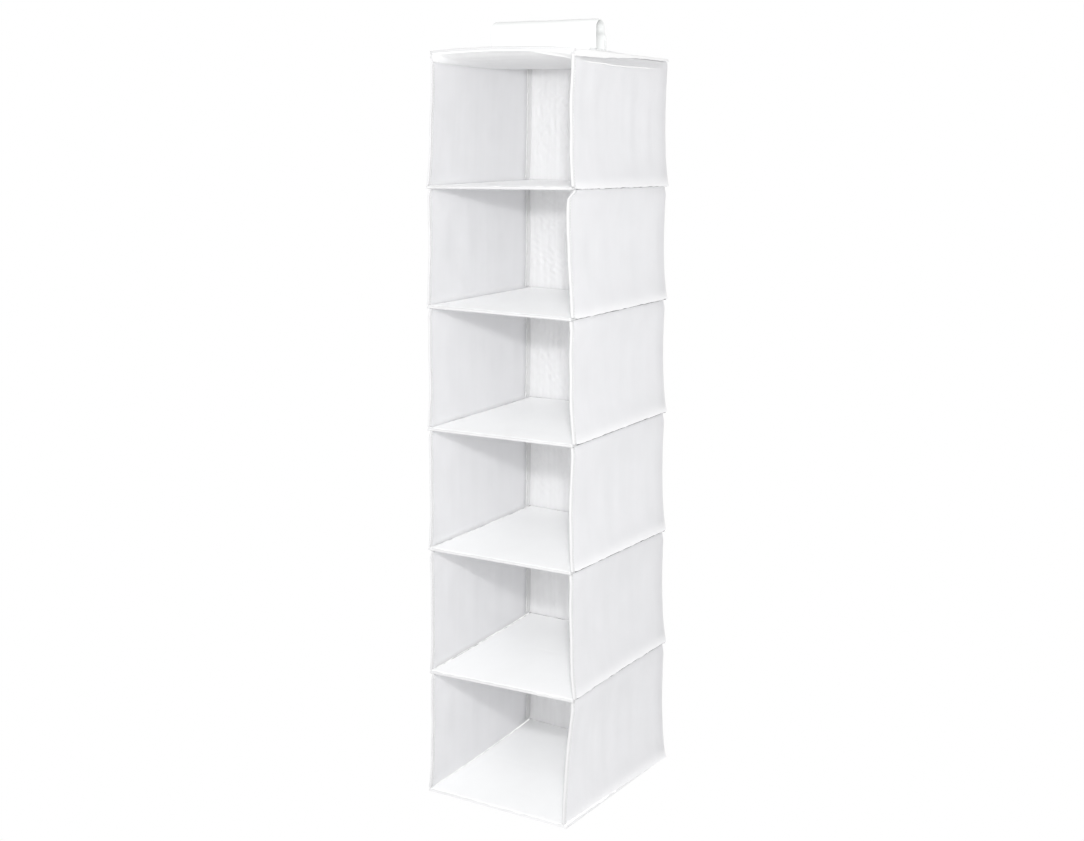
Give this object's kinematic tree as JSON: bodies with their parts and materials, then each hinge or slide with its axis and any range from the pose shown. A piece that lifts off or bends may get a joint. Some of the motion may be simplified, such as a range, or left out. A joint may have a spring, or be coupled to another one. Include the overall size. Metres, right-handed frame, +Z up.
{
  "type": "shoe organizer",
  "caption": "Hanging fabric shoe organizer with open compartments one above the other, hung from a closet rail by a wide strap.",
  "frame": {"origin": "on the rail's axis, at the middle of the strap", "axes": "+X to the right, +Y towards the back, +Z up"},
  "size_m": [0.25, 0.32, 1.1893],
  "materials": {
    "white_fabric": "matte",
    "shelf_fabric": "matte",
    "white_tape": "matte",
    "board_grey": "matte",
    "strap_white": "matte",
    "closure_white": "matte"
  },
  "bodies": {
    "top": {"top_cover": "shelf_fabric", "top_board": "board_grey", "top_piping": "white_tape", "left_wall_1": "white_fabric", "right_wall_1": "white_fabric", "back_wall_1": "white_fabric", "left_binding_1": "white_tape", "right_binding_1": "white_tape", "valance": "white_tape", "rail_strap": "strap_white", "strap_rear_tab": "strap_white", "loop_tape": "closure_white"},
    "shelf_1": {"shelf_1_cover": "shelf_fabric", "shelf_1_board": "board_grey", "shelf_1_piping": "white_tape", "left_wall_2": "white_fabric", "right_wall_2": "white_fabric", "back_wall_2": "white_fabric", "left_binding_2": "white_tape", "right_binding_2": "white_tape"},
    "shelf_2": {"shelf_2_cover": "shelf_fabric", "shelf_2_board": "board_grey", "shelf_2_piping": "white_tape", "left_wall_3": "white_fabric", "right_wall_3": "white_fabric", "back_wall_3": "white_fabric", "left_binding_3": "white_tape", "right_binding_3": "white_tape"},
    "shelf_3": {"shelf_3_cover": "shelf_fabric", "shelf_3_board": "board_grey", "shelf_3_piping": "white_tape", "left_wall_4": "white_fabric", "right_wall_4": "white_fabric", "back_wall_4": "white_fabric", "left_binding_4": "white_tape", "right_binding_4": "white_tape"},
    "shelf_4": {"shelf_4_cover": "shelf_fabric", "shelf_4_board": "board_grey", "shelf_4_piping": "white_tape", "left_wall_5": "white_fabric", "right_wall_5": "white_fabric", "back_wall_5": "white_fabric", "left_binding_5": "white_tape", "right_binding_5": "white_tape"},
    "shelf_5": {"shelf_5_cover": "shelf_fabric", "shelf_5_board": "board_grey", "shelf_5_piping": "white_tape", "left_wall_6": "white_fabric", "right_wall_6": "white_fabric", "back_wall_6": "white_fabric", "left_binding_6": "white_tape", "right_binding_6": "white_tape"},
    "base": {"base_cover": "shelf_fabric", "base_board": "board_grey", "base_piping": "white_tape"},
    "flap": {"strap_flap": "strap_white", "hook_tape": "closure_white"}
  },
  "joints": [
    {"name": "strap_open", "type": "hinge", "parent": "top", "child": "flap", "pos_m": [0, 0.0148, 0], "axis": [1, 0, 0], "range_deg": [0, 100]},
    {"name": "collapse_1", "type": "slide", "parent": "top", "child": "shelf_1", "axis": [0, 0, 1], "range_m": [0, 0.17], "deforming": ["left_wall_1", "right_wall_1", "back_wall_1", "left_binding_1", "right_binding_1"]},
    {"name": "collapse_2", "type": "slide", "parent": "shelf_1", "child": "shelf_2", "axis": [0, 0, 1], "range_m": [0, 0.17], "deforming": ["left_wall_2", "right_wall_2", "back_wall_2", "left_binding_2", "right_binding_2"]},
    {"name": "collapse_3", "type": "slide", "parent": "shelf_2", "child": "shelf_3", "axis": [0, 0, 1], "range_m": [0, 0.17], "deforming": ["left_wall_3", "right_wall_3", "back_wall_3", "left_binding_3", "right_binding_3"]},
    {"name": "collapse_4", "type": "slide", "parent": "shelf_3", "child": "shelf_4", "axis": [0, 0, 1], "range_m": [0, 0.17], "deforming": ["left_wall_4", "right_wall_4", "back_wall_4", "left_binding_4", "right_binding_4"]},
    {"name": "collapse_5", "type": "slide", "parent": "shelf_4", "child": "shelf_5", "axis": [0, 0, 1], "range_m": [0, 0.17], "deforming": ["left_wall_5", "right_wall_5", "back_wall_5", "left_binding_5", "right_binding_5"]},
    {"name": "collapse_6", "type": "slide", "parent": "shelf_5", "child": "base", "axis": [0, 0, 1], "range_m": [0, 0.17], "deforming": ["left_wall_6", "right_wall_6", "back_wall_6", "left_binding_6", "right_binding_6"]}
  ]
}
